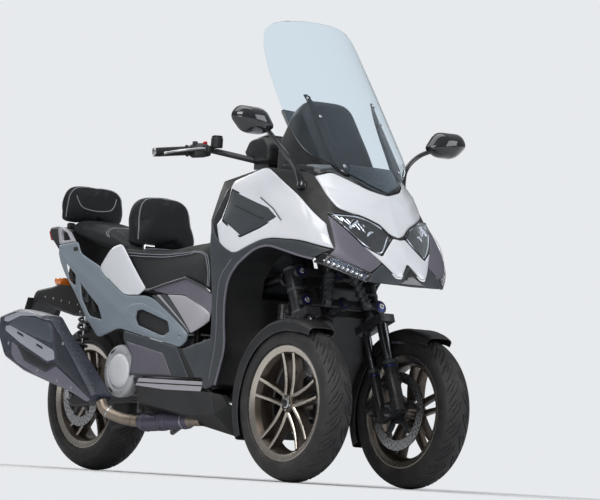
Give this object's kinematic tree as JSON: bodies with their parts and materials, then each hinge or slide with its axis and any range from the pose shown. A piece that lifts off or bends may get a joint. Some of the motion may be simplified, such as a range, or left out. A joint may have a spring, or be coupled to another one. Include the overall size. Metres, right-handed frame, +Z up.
{
  "type": "three-wheeled leaning scooter",
  "caption": "Maxi scooter with a pair of leaning, steered front wheels, a tall clear screen, a stepped seat with backrests and a side silencer.",
  "frame": {"origin": "floor level, midway along the overall length and on the centre plane", "axes": "+X to the vehicle's left, +Y to its rear, +Z up"},
  "size_m": [1.076, 2.3408, 1.668],
  "materials": {
    "tyre": "matt rubber",
    "bronze_rim": "satin bronze",
    "steel": "brushed",
    "black_metal": "satin",
    "engine_alloy": "satin cast",
    "white_gloss": "gloss",
    "satin_grey": "satin",
    "black_plastic": "satin",
    "lens_clear": "clear",
    "lens_red": "clear moulded",
    "mirror_face": "polished",
    "leather_black": "grained"
  },
  "bodies": {
    "chassis": {"arch_bands": "black_plastic", "belly_pan": "black_plastic", "cheeks": "white_gloss", "chin": "black_plastic", "crank_cover": "engine_alloy", "dash": "black_plastic", "engine": "engine_alloy", "exhaust_pipe": "steel", "floor_panels": "black_plastic", "frame": "black_metal", "front_signals": "lens_clear", "grab_rails": "black_plastic", "headlamps": "lens_clear", "inlay_panels": "satin_grey", "inner_fairing": "black_plastic", "lower_panels": "satin_grey", "mirror_glass": "mirror_face", "mirrors": "black_plastic", "muffler": "black_plastic", "nose_cowl": "white_gloss", "nose_lip": "white_gloss", "passenger_backrest": "leather_black", "rear_caliper": "black_metal", "rear_lamps": "lens_red", "rear_shocks": "black_metal", "seat_sides": "white_gloss", "seat_skirts": "black_plastic", "side_panels": "satin_grey", "side_tubes": "black_metal", "storage_bin": "black_plastic", "swingarm": "black_metal", "tail_panel": "black_plastic", "tilt_arms": "black_metal", "windscreen": "lens_clear"},
    "handlebar": {"handlebar": "black_metal", "grips": "black_plastic", "bar_controls": "black_plastic", "bar_cover": "black_plastic"},
    "knuckle_right": {"fork_right": "black_metal", "caliper_front_right": "black_metal", "fender_right": "black_plastic"},
    "knuckle_left": {"fork_left": "black_metal", "caliper_front_left": "black_metal", "fender_left": "black_plastic"},
    "wheel_front_right": {"tyre_front_right": "tyre", "rim_front_right": "bronze_rim", "disc_front_right": "steel"},
    "wheel_front_left": {"tyre_front_left": "tyre", "rim_front_left": "bronze_rim", "disc_front_left": "steel"},
    "wheel_rear": {"tyre_rear": "tyre", "rim_rear": "bronze_rim", "disc_rear": "steel"},
    "seat": {"seat": "leather_black", "rider_backrest": "leather_black"},
    "centre_stand": {"centre_stand": "black_metal"}
  },
  "joints": [
    {"name": "handlebar_steer", "type": "hinge", "parent": "chassis", "child": "handlebar", "pos_m": [0, -0.3825, 1.1], "axis": [0, 0.3746, 0.9272], "range_deg": [-30, 30]},
    {"name": "knuckle_right_steer", "type": "hinge", "parent": "chassis", "child": "knuckle_right", "pos_m": [-0.168, -0.8825, 0.2745], "axis": [0, 0.3746, 0.9272], "range_deg": [-30, 30]},
    {"name": "knuckle_left_steer", "type": "hinge", "parent": "chassis", "child": "knuckle_left", "pos_m": [0.168, -0.8825, 0.2745], "axis": [0, 0.3746, 0.9272], "range_deg": [-30, 30]},
    {"name": "wheel_front_right_spin", "type": "hinge", "parent": "knuckle_right", "child": "wheel_front_right", "pos_m": [-0.265, -0.8825, 0.2745], "axis": [1, 0, 0], "continuous": true},
    {"name": "wheel_front_left_spin", "type": "hinge", "parent": "knuckle_left", "child": "wheel_front_left", "pos_m": [0.265, -0.8825, 0.2745], "axis": [1, 0, 0], "continuous": true},
    {"name": "wheel_rear_spin", "type": "hinge", "parent": "chassis", "child": "wheel_rear", "pos_m": [0, 0.7175, 0.286], "axis": [1, 0, 0], "continuous": true},
    {"name": "seat_lid", "type": "hinge", "parent": "chassis", "child": "seat", "pos_m": [0, -0.2625, 0.728], "axis": [1, 0, 0], "range_deg": [0, 45]},
    {"name": "centre_stand_fold", "type": "hinge", "parent": "chassis", "child": "centre_stand", "pos_m": [0, 0.2025, 0.24], "axis": [1, 0, 0], "range_deg": [-68, 0]}
  ],
  "couplings": [
    {"joint": "knuckle_right_steer", "follows": "handlebar_steer", "ratio": 1},
    {"joint": "knuckle_left_steer", "follows": "handlebar_steer", "ratio": 1}
  ]
}
